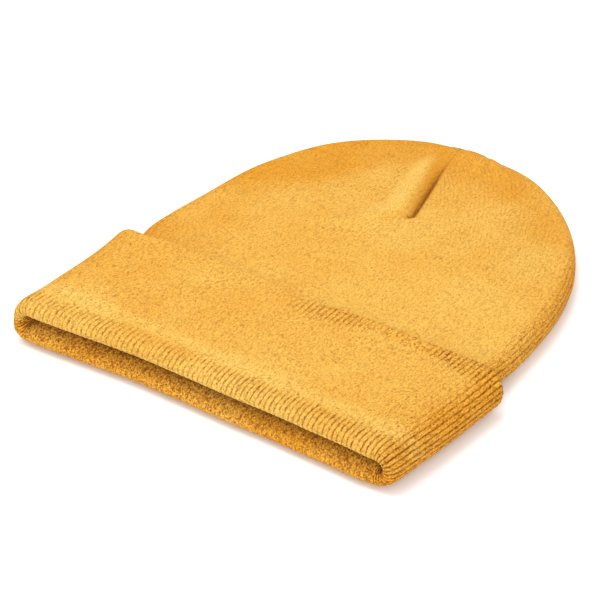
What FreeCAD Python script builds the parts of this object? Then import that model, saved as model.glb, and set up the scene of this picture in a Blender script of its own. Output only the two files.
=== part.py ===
import FreeCAD, Part
import math
import os

import Sketcher

# Knit beanie with a turned-up cuff, lying flat on its back panel.
#
# The hat is one double-layer knit tube. The outer layer (shell) and the inner layer (lining) run from
# the crown to the mouth, turn over together at the mouth and come back up outside it as the cuff: the
# shell becomes the cuff's backing and the lining becomes the cuff's visible facing. The two meet in
# the hem fold at the cuff's free edge. Four sewn darts and a tack shape the crown of each layer. The
# tube is cut lengthways inside its side folds and across below the darts: the back panel keeps the
# folds and the whole crown and lies on the table, and the front panel lifts to open the mouth. The
# front cuff turns about the lip.
#
# +X runs across the hat, +Y from the mouth to the crown, +Z up, in millimetres. The origin is on the
# table under the middle of the hat. Everything is drawn with the mouth's edge at Y = 0 and each
# sub-part's Placement moves it back by half the hat's length.

Vector = FreeCAD.Vector

DRIVING = {
    # the flat hat seen from above
    "half_width": 99,         # half the shell's width
    "hat_length": 236,        # mouth edge to the top of the crown
    "crown_radius": 90,       # arc over the top of the crown
    "crown_turn": 25,         # degrees above the X axis where that arc ends
    "cuff_height": 78,        # mouth edge to the cuff's free edge
    "cuff_flare": 5.5,        # extra width of each side of the cuff at its free edge
    "panel_inset": 7,         # front panel's edge, in from the shell's edge
    # the hat seen from the side
    "knit": 2,                # one layer of rib knit
    "body_depth": 14,         # shell to shell at the mouth
    "part_level": 8.5,        # height of the cut between the back panel and the front panel
    "drape_start": 80,        # the back panel comes down off the cuff from here
    "drape_end": 106,         # and lies on the table from here
    "slope_start": 112,       # the front panel starts to fall towards the crown
    "crown_drop": 5,          # and is this much lower at the top of the crown
    "fold_round": 6,          # rounding of the shell's side folds
    "running_gap": 0.3,       # gap between pieces that move past each other
    "panel_end": 158,         # the front panel bends from here, below the darts
    "lip_turn": 149,          # degrees that the front cuff wraps round the lip
    "lip_ease": 0.1,          # kept off the rounding of the lip
    # sewing
    "dart_length": 74,        # top of the crown to the dart's point
    "dart_shift": 5,          # front dart's point, to the right of the middle
    "dart_lean": 16,          # degrees that the front dart leans to the left
    "seam_width": 1.4,        # sewn seam, seen from outside
    "side_seam_level": 5.8,   # underside of the side darts' seams
    "side_reach": 60,         # side darts' points, out from the middle
    "tack_radius": 2.4,       # closing tack at the top of the crown
    "tack_level": 6.5,
    "label_width": 22,
    "label_length": 40,
    "label_ply": 0.5,         # one ply of the folded label
    "label_back": 70,         # top of the crown to the label's sewn end
    "bar_length": 3,          # stitched bar across the label's sewn end
}

NODES = []

doc = FreeCAD.newDocument("knit_beanie")
sheet = doc.addObject("Spreadsheet::Sheet", "sizes")
for row, (alias, value) in enumerate(DRIVING.items(), start=1):
    sheet.set(f"A{row}", alias)
    sheet.set(f"B{row}", str(value))
    sheet.setAlias(f"B{row}", alias)
doc.recompute()


def total(**terms):
    """A sum of driving dimensions, each times a number: its value now, and the expression for it."""
    value = sum(times * float(sheet.get(alias)) for alias, times in terms.items())
    return value, " + ".join(f"{times} * sizes.{alias}" for alias, times in terms.items())


def cell(alias):
    return total(**{alias: 1})[0]


def new_body(name):
    return doc.addObject("PartDesign::Body", name)


def new_sketch(body, name, role, offset=None):
    """A sketch on one of the body's own origin planes, moved along its normal by an expression."""
    sketch = body.newObject("Sketcher::SketchObject", name)
    plane = next(f for f in body.Origin.OriginFeatures if f.Role == role)
    sketch.AttachmentSupport = [(plane, "")]
    sketch.MapMode = "FlatFace"
    if offset:
        sketch.setExpression("AttachmentOffset.Base.z", offset)
    return sketch


def bind(sketch, kind, *where):
    """Adds a dimension. where ends with its value now and the expression that drives it. A distance
    of zero from the origin puts the point on the axis instead."""
    *where, value, expression = where
    if value == 0:
        axis = -2 if kind == "DistanceX" else -1
        sketch.addConstraint(Sketcher.Constraint("PointOnObject", *where[-2:], axis))
        return
    index = sketch.addConstraint(Sketcher.Constraint(kind, *where, value))
    sketch.setExpression(f"Constraints[{index}]", expression)


def line(sketch, start, end):
    return sketch.addGeometry(Part.LineSegment(Vector(*start, 0), Vector(*end, 0)), False)


def arc(sketch, centre, radius, start_deg, end_deg):
    circle = Part.Circle(Vector(*centre, 0), Vector(0, 0, 1), radius)
    turn = math.radians(start_deg), math.radians(end_deg)
    return sketch.addGeometry(Part.ArcOfCircle(circle, *turn), False)


def join(sketch, a, a_end, b, b_end, kind="Coincident"):
    sketch.addConstraint(Sketcher.Constraint(kind, a, a_end, b, b_end))


def loop(sketch, corners, arcs=()):
    """A closed outline through corners, each a pair of totals. arcs holds, for each side that is an
    arc and not a line: {side number: (centre as two totals, from degrees, to degrees, forwards)}."""
    arcs = dict(arcs)
    count = len(corners)
    ends = []
    for i in range(count):
        a, b = corners[i], corners[(i + 1) % count]
        if i in arcs:
            centre, from_deg, to_deg, forwards = arcs[i]
            middle = centre[0][0], centre[1][0]
            radius = math.hypot(a[0][0] - middle[0], a[1][0] - middle[1])
            side = arc(sketch, middle, radius, from_deg, to_deg)
            ends.append((side, 1, 2) if forwards else (side, 2, 1))
        else:
            side = line(sketch, (a[0][0], a[1][0]), (b[0][0], b[1][0]))
            ends.append((side, 1, 2))
    for i in range(count):
        side, _, end = ends[i]
        following, start, _ = ends[(i + 1) % count]
        join(sketch, side, end, following, start)
    for i in range(count):
        side, start, _ = ends[i]
        bind(sketch, "DistanceX", -1, 1, side, start, *corners[i][0])
        bind(sketch, "DistanceY", -1, 1, side, start, *corners[i][1])
        if i in arcs:
            bind(sketch, "DistanceX", -1, 1, side, 3, *arcs[i][0][0])


def expanse(sketch, reach=300):
    """A rectangle far outside the hat, so that a pocket of the sketch keeps only what is inside."""
    low, high = (-reach, str(-reach)), (2 * reach, str(2 * reach))
    loop(sketch, [(low, low), (high, low), (high, high), (low, high)])


def crown_outline(sketch, inset, mouth):
    """The hat's outline from above, moved in by inset: two straight sides, and a crown of three arcs
    that run on from them without a corner."""
    half, half_rule = total(half_width=1, **{k: -v for k, v in inset.items()})
    reach, reach_rule = total(crown_radius=1, **{k: -v for k, v in inset.items()})
    centre_y, centre_rule = total(hat_length=1, crown_radius=-1)
    turn_deg = cell("crown_turn")
    turn = math.radians(turn_deg)
    meet = reach * math.cos(turn), f"({reach_rule}) * cos(sizes.crown_turn * 1 deg)"
    small = (half - meet[0]) / (1 - math.cos(turn))
    shoulder_y = centre_y + (reach - small) * math.sin(turn)

    mouth_line = line(sketch, (-half, mouth[0]), (half, mouth[0]))
    right_line = line(sketch, (half, mouth[0]), (half, shoulder_y))
    right_arc = arc(sketch, (half - small, shoulder_y), small, 0, turn_deg)
    top_arc = arc(sketch, (0, centre_y), reach, turn_deg, 180 - turn_deg)
    left_arc = arc(sketch, (small - half, shoulder_y), small, 180 - turn_deg, 180)
    left_line = line(sketch, (-half, shoulder_y), (-half, mouth[0]))

    join(sketch, mouth_line, 2, right_line, 1)
    join(sketch, right_line, 2, right_arc, 1, "Tangent")
    join(sketch, right_arc, 2, top_arc, 1, "Tangent")
    join(sketch, top_arc, 2, left_arc, 1, "Tangent")
    join(sketch, left_arc, 2, left_line, 1, "Tangent")
    join(sketch, left_line, 2, mouth_line, 1)
    sketch.addConstraint(Sketcher.Constraint("Horizontal", mouth_line))
    sketch.addConstraint(Sketcher.Constraint("Vertical", right_line))
    sketch.addConstraint(Sketcher.Constraint("Vertical", left_line))
    sketch.addConstraint(Sketcher.Constraint("PointOnObject", top_arc, 3, -2))
    bind(sketch, "DistanceX", -1, 1, right_line, 1, half, half_rule)
    bind(sketch, "DistanceX", left_line, 2, -1, 1, half, half_rule)
    bind(sketch, "DistanceY", -1, 1, mouth_line, 1, *mouth)
    bind(sketch, "DistanceY", -1, 1, top_arc, 3, centre_y, centre_rule)
    bind(sketch, "Radius", top_arc, reach, reach_rule)
    bind(sketch, "DistanceX", -1, 1, top_arc, 1, *meet)
    bind(sketch, "DistanceX", top_arc, 2, -1, 1, *meet)


def side_outline(sketch, inset, mouth):
    """The hat's outline from the side, on the YZ plane, moved in by inset: flat at the mouth, then
    the back comes down off the cuff in an S and the front falls in one long arc to the crown."""
    sunk = {"knit": 2 + inset["knit"]}
    low, high = total(**sunk), total(knit=2 - inset["knit"], body_depth=1)
    table, far = total(**inset), total(hat_length=1)
    start, end, slope = total(drape_start=1), total(drape_end=1), total(slope_start=1)
    end_top = total(knit=2 - inset["knit"], body_depth=1, crown_drop=-1)
    run, fall = end[0] - start[0], low[0] - table[0]
    bend = (run**2 + fall**2) / (4 * fall)
    turn = math.degrees(math.asin(run / 2 / bend))
    drop, reach = cell("crown_drop"), far[0] - slope[0]
    long_radius = (reach**2 + drop**2) / (2 * drop)
    long_turn = math.degrees(math.asin(reach / long_radius))

    low_line = line(sketch, (mouth[0], low[0]), (start[0], low[0]))
    over = arc(sketch, (start[0], low[0] - bend), bend, 90 - turn, 90)
    under = arc(sketch, (end[0], table[0] + bend), bend, 270 - turn, 270)
    table_line = line(sketch, (end[0], table[0]), (far[0], table[0]))
    end_line = line(sketch, (far[0], table[0]), (far[0], end_top[0]))
    top_arc = arc(sketch, (slope[0], high[0] - long_radius), long_radius, 90 - long_turn, 90)
    top_line = line(sketch, (slope[0], high[0]), (mouth[0], high[0]))
    mouth_line = line(sketch, (mouth[0], high[0]), (mouth[0], low[0]))

    join(sketch, low_line, 2, over, 2, "Tangent")
    join(sketch, over, 1, under, 1, "Tangent")
    join(sketch, under, 2, table_line, 1, "Tangent")
    join(sketch, table_line, 2, end_line, 1)
    join(sketch, end_line, 2, top_arc, 1)
    join(sketch, top_arc, 2, top_line, 1, "Tangent")
    join(sketch, top_line, 2, mouth_line, 1)
    join(sketch, mouth_line, 2, low_line, 1)
    for flat in (low_line, table_line, top_line):
        sketch.addConstraint(Sketcher.Constraint("Horizontal", flat))
    for upright in (end_line, mouth_line):
        sketch.addConstraint(Sketcher.Constraint("Vertical", upright))
    bind(sketch, "DistanceX", -1, 1, mouth_line, 1, *mouth)
    bind(sketch, "DistanceY", -1, 1, low_line, 1, *low)
    bind(sketch, "DistanceX", -1, 1, low_line, 2, *start)
    bind(sketch, "DistanceX", -1, 1, table_line, 1, *end)
    bind(sketch, "DistanceY", -1, 1, table_line, 1, *table)
    bind(sketch, "DistanceX", -1, 1, table_line, 2, *far)
    bind(sketch, "DistanceX", -1, 1, top_line, 1, *slope)
    bind(sketch, "DistanceY", -1, 1, top_line, 1, *high)
    bind(sketch, "DistanceY", -1, 1, end_line, 2, *end_top)


def pad(body, sketch, name, length, both_ways=False, backwards=False):
    feature = body.newObject("PartDesign::Pad", name)
    feature.Profile = sketch
    feature.Length = length[0]
    feature.setExpression("Length", length[1])
    feature.Midplane = both_ways
    feature.Reversed = backwards
    return feature


def pocket_through(body, sketch, name):
    """Cuts the sketch's area right through, both ways."""
    feature = body.newObject("PartDesign::Pocket", name)
    feature.Profile = sketch
    feature.Type = "ThroughAll"
    feature.Midplane = True
    return feature


def fillet(body, base, name, radius, wanted):
    """Rounds every edge of base for which wanted(edge) holds."""
    doc.recompute()
    names = [f"Edge{i}" for i, e in enumerate(base.Shape.Edges, start=1) if wanted(e)]
    feature = body.newObject("PartDesign::Fillet", name)
    feature.Base = (base, names)
    feature.Radius = radius[0]
    feature.setExpression("Radius", radius[1])
    return feature


def round_the_fold(mouth):
    """Picks the edges all round the hat's outline, above and below, but not those at the mouth."""
    def wanted(edge):
        a, b = edge.firstVertex().Point, edge.lastVertex().Point
        at_mouth = abs(a.y - mouth) < 1e-3 and abs(b.y - mouth) < 1e-3
        upright = math.hypot(a.x - b.x, a.y - b.y) < 1e-3
        across = math.hypot(a.y - b.y, a.z - b.z) < 1e-3 and edge.Curve.TypeId == "Part::GeomLine"
        return not (at_mouth or upright or across)
    return wanted


def hat_form(name, layers):
    """The solid form of the hat body, a number of knit layers in from the shell's outer face. It
    starts where the layers turn over, two layers back from the mouth's edge."""
    inset = {"knit": layers}
    mouth = total(knit=2)
    body = new_body(name)
    side = new_sketch(body, name + "_side", "YZ_Plane")
    side_outline(side, inset, mouth)
    blank = pad(body, side, name + "_blank", total(half_width=3), both_ways=True)
    plan = new_sketch(body, name + "_plan", "XY_Plane")
    expanse(plan)
    crown_outline(plan, inset, mouth)
    trimmed = pocket_through(body, plan, name + "_trim")
    fold = total(fold_round=1, knit=-layers)
    fillet(body, trimmed, name + "_fold", fold, round_the_fold(mouth[0]))
    doc.recompute()
    return body


def panel_block(name, inset, mouth, gap=0):
    """A block over the front panel's outline, from the parting level up and from the mouth to the
    panel's end below the darts."""
    body = new_body(name + "_outline")
    plan = new_sketch(body, name + "_plan", "XY_Plane", "sizes.part_level")
    crown_outline(plan, inset, mouth)
    pad(body, plan, name + "_pad", total(body_depth=2))
    reach = box(name + "_reach", (total(half_width=2), total(panel_end=1, running_gap=-gap),
                                  total(body_depth=4)), (total(half_width=-1), total(knit=0), total(knit=0)))
    return both("Common", name, body, reach)


def box(name, sizes, corner, lean=None):
    """A box with its low corner given by three totals, turned about that corner by lean."""
    made = doc.addObject("Part::Box", name)
    for side, size in zip(("Length", "Width", "Height"), sizes):
        made.setExpression(side, size[1])
    for axis, place in zip("xyz", corner):
        made.setExpression(f"Placement.Base.{axis}", place[1])
    if lean:
        made.Placement.Rotation = FreeCAD.Rotation(Vector(0, 0, 1), cell(lean))
        made.setExpression("Placement.Rotation.Angle", f"sizes.{lean} * 1 deg")
    return made


def both(kind, name, base, tool):
    """A boolean of two objects. kind is Cut or Common."""
    made = doc.addObject(f"Part::{kind}", name)
    made.Base = base
    made.Tool = tool
    return made


def fuse(name, pieces):
    made = doc.addObject("Part::MultiFuse", name)
    made.Shapes = pieces
    return made


def node(piece):
    """Makes a finished object a named sub-part of the hat."""
    piece.Label = piece.Name
    piece.setExpression("Placement.Base.y", "-sizes.hat_length / 2")
    NODES.append(piece)


def layer_nodes(layer, walls, panel, opening, seams):
    """Cuts one layer of the hat into its front panel, its back panel with the crown, its dart seams
    and its tack."""
    back_wall = both("Cut", layer + "_back_wall", walls, opening)
    prefix = "" if layer == "shell" else "lining_"
    node(both("Common", prefix + "crown_tack", back_wall, seams["tack"]))
    untacked = both("Cut", layer + "_untacked", back_wall, seams["tack"])
    darts = ("left", "right", "back", "front")
    for side in darts:
        node(both("Common", f"{prefix}dart_{side}", untacked, seams[side]))
    sewn = fuse(layer + "_sewn", [seams[side] for side in darts])
    node(both("Cut", layer + "_back", untacked, sewn))
    node(both("Common", layer + "_front", walls, panel))


def crown_seams(layer, front_lean):
    """The strips in which a layer's four darts are sewn, and the cylinder of its closing tack."""
    start, length = total(hat_length=1, dart_length=-1), total(dart_length=1, knit=2)
    width, middle = total(seam_width=1), total(seam_width=-0.5)
    level, floor = total(part_level=1), total(knit=-1)
    out, level_side = total(side_reach=1), total(side_seam_level=1)
    tack = doc.addObject("Part::Cylinder", layer + "_tack_form")
    tack.setExpression("Radius", "sizes.tack_radius")
    tack.setExpression("Height", "sizes.dart_length")
    tack.Placement.Rotation = FreeCAD.Rotation(Vector(1, 0, 0), -90)
    tack.setExpression("Placement.Base.y", start[1])
    tack.setExpression("Placement.Base.z", "sizes.tack_level")
    shift = total(seam_width=-0.5, dart_shift=1) if front_lean else middle
    forms = layer + "_dart_form_"
    return {
        "tack": tack,
        "front": box(forms + "front", (width, length, total(body_depth=2)), (shift, start, level),
                     front_lean),
        "back": box(forms + "back", (width, length, total(part_level=1, knit=1)),
                    (middle, start, floor)),
        "right": box(forms + "right", (out, length, width), (total(knit=0), start, level_side)),
        "left": box(forms + "left", (out, length, width), (total(side_reach=-1), start, level_side)),
    }


def minus(amount):
    return -amount[0], f"-({amount[1]})"


def flared(layers, along):
    """Half width of one of the cuff's layers, at a distance along from the mouth's edge."""
    half, length = total(half_width=1, knit=2 - layers), total(cuff_height=1)
    rule = f"{half[1]} + sizes.cuff_flare * ({along[1]}) / ({length[1]})"
    return half[0] + cell("cuff_flare") * along[0] / length[0], rule


def band_form(name, layers, start, free):
    """Solid form of the cuff's band, a number of knit layers in from its face: a flat tube that
    widens in a straight line towards its free end."""
    near, far = flared(layers, start), flared(layers, free)
    body = new_body(name)
    plan = new_sketch(body, name + "_plan", "XY_Plane", f"{layers} * sizes.knit")
    loop(plan, [(minus(near), start), (near, start), (far, free), (minus(far), free)])
    blank = pad(body, plan, name + "_blank", total(body_depth=1, knit=4 - 2 * layers))

    def along(edge):
        a, b = edge.firstVertex().Point, edge.lastVertex().Point
        return abs(a.y - b.y) > 1

    fillet(body, blank, name + "_fold", total(fold_round=1, knit=2 - layers), along)
    doc.recompute()
    return body


def lipped_form(name, layers, free):
    """The band's form with the mouth cut through it and its lip rounded, outside and inside, so that
    the layer turns over from the cuff into the hat."""
    start = total(knit=layers)
    body = band_form(name, layers, start, free)
    mouth = new_sketch(body, name + "_mouth", "XZ_Plane")
    half, corner = total(half_width=1, knit=layers - 2), total(fold_round=1, knit=layers - 2)
    low, high = total(knit=4 - layers), total(knit=layers, body_depth=1)
    in_half = total(half_width=1, fold_round=-1)
    up, down = total(knit=2, fold_round=1), total(knit=2, body_depth=1, fold_round=-1)
    corners = [
        (minus(in_half), low), (in_half, low), (half, up), (half, down),
        (in_half, high), (minus(in_half), high), (minus(half), down), (minus(half), up),
    ]
    arcs = {
        1: ((in_half, up), -90, 0, True),
        3: ((in_half, down), 0, 90, True),
        5: ((minus(in_half), down), 90, 180, True),
        7: ((minus(in_half), up), 180, 270, True),
    }
    loop(mouth, corners, arcs)
    cut = pocket_through(body, mouth, name + "_opening")

    def at_lip(edge):
        a, b = edge.firstVertex().Point, edge.lastVertex().Point
        return abs(a.y - start[0]) < 1e-3 and abs(b.y - start[0]) < 1e-3

    turn = total(knit=2 - layers, lip_ease=-1)
    fillet(body, cut, name + "_lip", turn, at_lip)
    doc.recompute()
    return body


def back_cuff():
    """Back cuff: the facing, with the hem fold at its free end, and the backing inside it. Both keep
    the side folds and are open above, where the front cuff lies."""
    facing_form = lipped_form("facing_form", 0, total(cuff_height=1))
    backing_form = lipped_form("backing_form", 1, total(cuff_height=1, knit=-1))
    inside = band_form("cuff_inside_form", 2, total(knit=2), total(cuff_height=1, knit=1))
    facing_band = both("Cut", "facing_band", facing_form, fuse("facing_core", [backing_form, inside]))
    backing_band = both("Cut", "backing_band", backing_form, inside)
    width = total(half_width=2, panel_inset=-2)
    above = box("cuff_opening", (width, total(cuff_height=2), total(body_depth=2)),
                (total(half_width=-1, panel_inset=1), total(cuff_height=-1), total(part_level=1)))
    node(both("Cut", "cuff_facing_back", facing_band, above))
    node(both("Cut", "cuff_backing_back", backing_band, above))


def turned(radius, rule):
    """Where the front cuff's wrap round the lip ends, for a radius from the lip's axis."""
    turn = math.radians(90 + cell("lip_turn"))
    along = f"2 * sizes.knit + ({rule}) * cos((90 + sizes.lip_turn) * 1 deg)"
    up = f"2 * sizes.knit + sizes.body_depth + ({rule}) * sin((90 + sizes.lip_turn) * 1 deg)"
    axis_y, axis_z = total(knit=2)[0], total(knit=2, body_depth=1)[0]
    return (axis_y + radius * math.cos(turn), along), (axis_z + radius * math.sin(turn), up)


def front_cuff():
    """Front cuff: facing and backing, each a flat flap that wraps round the front lip."""
    lip, axis = total(knit=2), total(knit=2, body_depth=1)
    hem = total(cuff_height=1, knit=-1)
    under = total(knit=2, body_depth=1, running_gap=1)
    middle, top = total(knit=3, body_depth=1), total(knit=4, body_depth=1)
    width = total(half_width=2, panel_inset=-2, running_gap=-2)
    two, one, turn = total(knit=2), total(knit=1), 90 + cell("lip_turn")
    hem_low = total(cuff_height=1, knit=-1, running_gap=1)

    facing = new_body("cuff_facing_front")
    section = new_sketch(facing, "cuff_facing_front_section", "YZ_Plane")
    corners = [
        (lip, top), turned(*two), turned(*one), (lip, middle), (hem, middle), (hem, under),
        (hem_low, under), (total(cuff_height=1), middle), (hem, top),
    ]
    arcs = {
        0: ((lip, axis), 90, turn, True),
        2: ((lip, axis), 90, turn, False),
        6: ((hem_low, middle), -90, 0, True),
        7: ((hem, middle), 0, 90, True),
    }
    loop(section, corners, arcs)
    pad(facing, section, "cuff_facing_front_flap", width, both_ways=True)
    node(facing)

    backing = new_body("cuff_backing_front")
    section = new_sketch(backing, "cuff_backing_front_section", "YZ_Plane")
    corners = [(lip, middle), turned(*one), (lip, axis), (lip, under), (hem, under), (hem, middle)]
    loop(section, corners, {0: ((lip, axis), 90, turn, True)})
    pad(backing, section, "cuff_backing_front_flap", width, both_ways=True)
    node(backing)


def care_label():
    """Blank folded label on the back lining, and the stitched bar that holds it."""
    sewn, level = total(hat_length=1, label_back=-1), total(knit=2)
    folded = total(hat_length=1, label_back=-1, label_length=-1, label_ply=1)
    top = total(knit=2, label_ply=2)
    label = new_body("care_label")
    section = new_sketch(label, "care_label_section", "YZ_Plane")
    centre = folded, total(knit=2, label_ply=1)
    loop(section, [(folded, top), (folded, level), (sewn, level), (sewn, top)],
         {0: (centre, 90, 270, True)})
    pad(label, section, "care_label_plies", total(label_width=1), both_ways=True)
    node(label)
    corner = total(label_width=-0.5), total(hat_length=1, label_back=-1, bar_length=-1), top
    bar = box("label_stitch", (total(label_width=1), total(bar_length=1), total(label_ply=1)), corner)
    bar.setExpression("Placement.Base.y", corner[1][1] + " - sizes.hat_length / 2")
    bar.Label = bar.Name
    NODES.append(bar)


def hat_body():
    """The shell and the lining, each cut into its panels, seams and tack."""
    shell_form = hat_form("shell_form", 0)
    lining_form = hat_form("lining_form", 1)
    head_space = hat_form("head_space_form", 2)
    opening = panel_block("panel_opening", {"panel_inset": 1}, total(knit=1))
    panel = panel_block("panel_block", {"panel_inset": 1, "running_gap": 1},
                        total(knit=2, running_gap=1), 1)
    shell_walls = both("Cut", "shell_walls", shell_form, lining_form)
    lining_walls = both("Cut", "lining_walls", lining_form, head_space)
    layer_nodes("shell", shell_walls, panel, opening, crown_seams("shell", "dart_lean"))
    layer_nodes("lining", lining_walls, panel, opening, crown_seams("lining", None))


def write_steps():
    """Checks every object and every sub-part, then writes one STEP file for each sub-part."""
    doc.recompute()
    for made in doc.Objects:
        if "Invalid" in made.State or "Error" in made.State:
            raise RuntimeError(f"{made.Name} is {made.State}")
    os.makedirs("parts", exist_ok=True)
    for piece in NODES:
        if piece.Shape.isNull() or not piece.Shape.isValid():
            raise RuntimeError(f"{piece.Name} has no valid shape")
        piece.Shape.exportStep(f"parts/{piece.Label}.step")
        b = piece.Shape.optimalBoundingBox()
        extent = [round(v, 1) for v in (b.XMin, b.XMax, b.YMin, b.YMax, b.ZMin, b.ZMax)]
        print(f"{piece.Label}: {len(piece.Shape.Solids)} solid, {piece.Shape.Volume:.0f} mm3", extent)


hat_body()
back_cuff()
front_cuff()
care_label()
write_steps()
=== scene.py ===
import bpy
import math
import numpy as np
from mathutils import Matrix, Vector


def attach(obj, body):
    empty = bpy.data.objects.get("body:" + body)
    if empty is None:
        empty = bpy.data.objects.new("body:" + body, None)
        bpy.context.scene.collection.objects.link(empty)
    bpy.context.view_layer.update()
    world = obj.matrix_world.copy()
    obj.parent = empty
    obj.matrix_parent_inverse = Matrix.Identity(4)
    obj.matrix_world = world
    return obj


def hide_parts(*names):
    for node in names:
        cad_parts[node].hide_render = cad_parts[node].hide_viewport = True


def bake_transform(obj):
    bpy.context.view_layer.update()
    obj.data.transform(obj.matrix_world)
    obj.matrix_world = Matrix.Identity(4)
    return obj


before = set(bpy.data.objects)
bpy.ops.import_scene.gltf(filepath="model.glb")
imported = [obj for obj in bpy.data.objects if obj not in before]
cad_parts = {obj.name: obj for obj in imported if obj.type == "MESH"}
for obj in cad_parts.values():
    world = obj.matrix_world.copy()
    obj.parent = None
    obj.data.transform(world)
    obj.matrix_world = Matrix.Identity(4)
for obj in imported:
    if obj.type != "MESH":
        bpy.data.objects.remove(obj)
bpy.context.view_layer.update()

# ---------------------------------------------------------------- sizes, in millimetres
# The hat is drawn with its mouth's edge at y = 0 and moved by SHIFT at the end.
LENGTH = 236.0          # mouth edge to the top of the crown
SHIFT = -LENGTH / 2
HALF_WIDTH = 99.5       # half the body's width
LIP_HALF = 103.0        # half the cuff's outer width at the mouth
CUFF = 77.0             # mouth edge to the cuff's free edge at the back
FLARE = 6.0             # extra half width of the cuff at its free edge
KNIT = 2.0              # one layer of knit
TURN_UP = 2 * KNIT      # facing and backing: the cuff's thickness
WALES = 42              # ribs in a quarter of the hat
TIGHT = 2.15            # closest that ribs lie to each other before a dart takes them in
DART_WALE = 2           # the rib at which the front dart points
DART_FOOT = 162.0       # where that dart starts
CROWN = 157.0           # the crown stays with the back panel from here
SPLIT_WALE = 21         # the rib at which the moving middle is parted from the sides
ROLL = 7.0              # rounding of the hat's side folds
LIP = 8.0               # depth of the mouth's rounded lip
SHOULDER = 71.0         # from here up the body narrows towards the crown
CLOSE = 10.0            # length of the rounded end of the crown
SHELL_START = 12.0      # the shell's first row, hidden in the cuff's lip
LINING_START = 24.0     # the lining's first row, further in
LINING_INSET = 4.0      # from the shell's outer face to the lining's inner one
HEM = 2.2               # half the thickness of the hem's roll
TABLE_GAP = 0.05        # least height of the knit over the table
SKIRT_ROWS = 5          # rows of the crown under the front panel's end
SKIRT_SINK = 0.8        # how deep they lie there
CUFF_COLUMNS = 8        # mesh columns to each rib of the cuff
SEAM_RADIUS = 0.32      # of the thread that closes a dart
KNOT_RADIUS = 0.4       # of the thread that ties the crown


def smooth(t):
    """Zero below 0, one above 1, and an even ease between."""
    t = np.clip(t, 0, 1)
    return t * t * (3 - 2 * t)


def hump(t, centre, width):
    """Bell curve of height one."""
    return np.exp(-((t - centre) / width) ** 2)


def waves(x, y, seed, size, count=7):
    """Sum of a few sine waves of about that wavelength in random directions: gentle unevenness."""
    r = np.random.default_rng(seed)
    total = np.zeros(np.broadcast(x, y).shape)
    for _ in range(count):
        turn, phase = r.uniform(0, math.tau), r.uniform(0, math.tau)
        length = size * r.uniform(0.6, 1.6)
        total += np.sin((x * math.cos(turn) + y * math.sin(turn)) * math.tau / length + phase)
    return total / count


# ---------------------------------------------------------------- the hat's large shape
def half_width(y):
    """Half the body's width: straight, then a superellipse over the crown."""
    k = np.clip((y - SHOULDER) / (LENGTH - SHOULDER), 0, 1)
    return HALF_WIDTH * (1 - k ** 2.82) ** (1 / 1.94)


def crown_close(y):
    """One on the body, falling to zero in a quarter circle at the top of the crown."""
    r = np.clip((LENGTH - y) / CLOSE, 0, 1)
    return np.sqrt(np.clip(1 - (1 - r) ** 2, 0, 1))


def top_level(y):
    """Height of the shell's upper face over the middle of the hat: a little proud of the cuff's
    free edge, then sinking to the crown."""
    return 16.4 + 0.5 * hump(y, 112, 30) + 1.6 * smooth((40 - y) / 40) - 5.4 * smooth((y - 130) / 105)


def low_level(y):
    """Height of the shell's lower face: off the table over the cuff, and on it past the cuff."""
    return 4.0 - 4.0 * smooth((y - 79) / 26)


def section(c, w, h, roll):
    """A flat tube's section. c runs round it by arc length: -1 at the left fold, over the top to 1
    at the right fold, and on underneath to 3. The folds are quarter ellipses of width roll and
    height h. Returns x and the height above the middle, with the outward normal of each."""
    c = np.mod(c + 1, 4) - 1
    under = c > 1
    c = np.where(under, 2 - c, c)
    roll = np.minimum(roll, 0.92 * w)
    flat, bend = w - roll, 0.5 * np.pi * np.sqrt((roll ** 2 + h ** 2) / 2)
    s = np.abs(c) * (flat + bend)
    turn = np.clip((s - flat) / bend, 0, 1) * np.pi / 2
    x = np.sign(c) * (np.minimum(s, flat) + roll * np.sin(turn))
    nx, nz = np.sign(c) * np.sin(turn) * h, np.cos(turn) * roll
    size = np.maximum(np.hypot(nx, nz), 1e-9)
    side = np.where(under, -1, 1)
    return x, side * h * np.cos(turn), nx / size, side * nz / size


def quarter_length(w, h, roll):
    """Arc length of a quarter of that section, from the middle to the fold."""
    roll = np.minimum(roll, 0.92 * w)
    return w - roll + 0.5 * np.pi * np.sqrt((roll ** 2 + h ** 2) / 2)


def settle(points):
    """How the hat happens to lie. The cuff's left side is drawn in and the mouth's left corner out
    and forward, the body is a little fuller on its right and thinner on its left, and the lower lip
    lies a little forward of the upper. Nothing sinks into the table."""
    x, y, z = points[..., 0], points[..., 1], points[..., 2]
    body = smooth((y - 78) / 16)
    crown = smooth((y - 170) / 50)
    left = 4.0 * hump(y, 2, 12) - 4.6 * smooth((y - 14) / 55) * (1 - 0.75 * body) * (1 - crown)
    left = left - 2.9 * hump(y, 130, 26) + 1.0 * hump(y, 192, 24)
    right = 1.2 * hump(y, 150, 34) + 0.8 * body * (1 - smooth((y - 165) / 40))
    right = right - 1.1 * hump(y, 13, 16) - 0.2 * hump(y, 216, 12)
    shift = smooth(x / 60) * right - smooth(-x / 60) * left
    thin = 2.2 * smooth((-x - 45) / 40) * body * (1 - smooth((y - 175) / 35)) * np.clip(z / 16, 0, 1)
    corner = (3.8 * smooth((-x - 30) / 65) + 0.8 * smooth((x - 60) / 30)) * smooth((30 - y) / 30)
    under = 1.5 * smooth((11 - z) / 5) * smooth((18 - y) / 14) * (1 - smooth((x - 80) / 16))
    return np.stack([x + shift, y - corner - under, np.maximum(z - thin, TABLE_GAP)], -1)


def dart_x(y):
    """Where the front dart's crease runs: a small hook at its point, then leaning to the left, a
    little less so near the top."""
    hook, lean, top = np.maximum(165 - y, 0), np.clip(y - 165, 0, 42), np.maximum(y - 207, 0)
    return 2.8 - 0.5 * hook - 0.275 * lean - 0.17 * top


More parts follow.
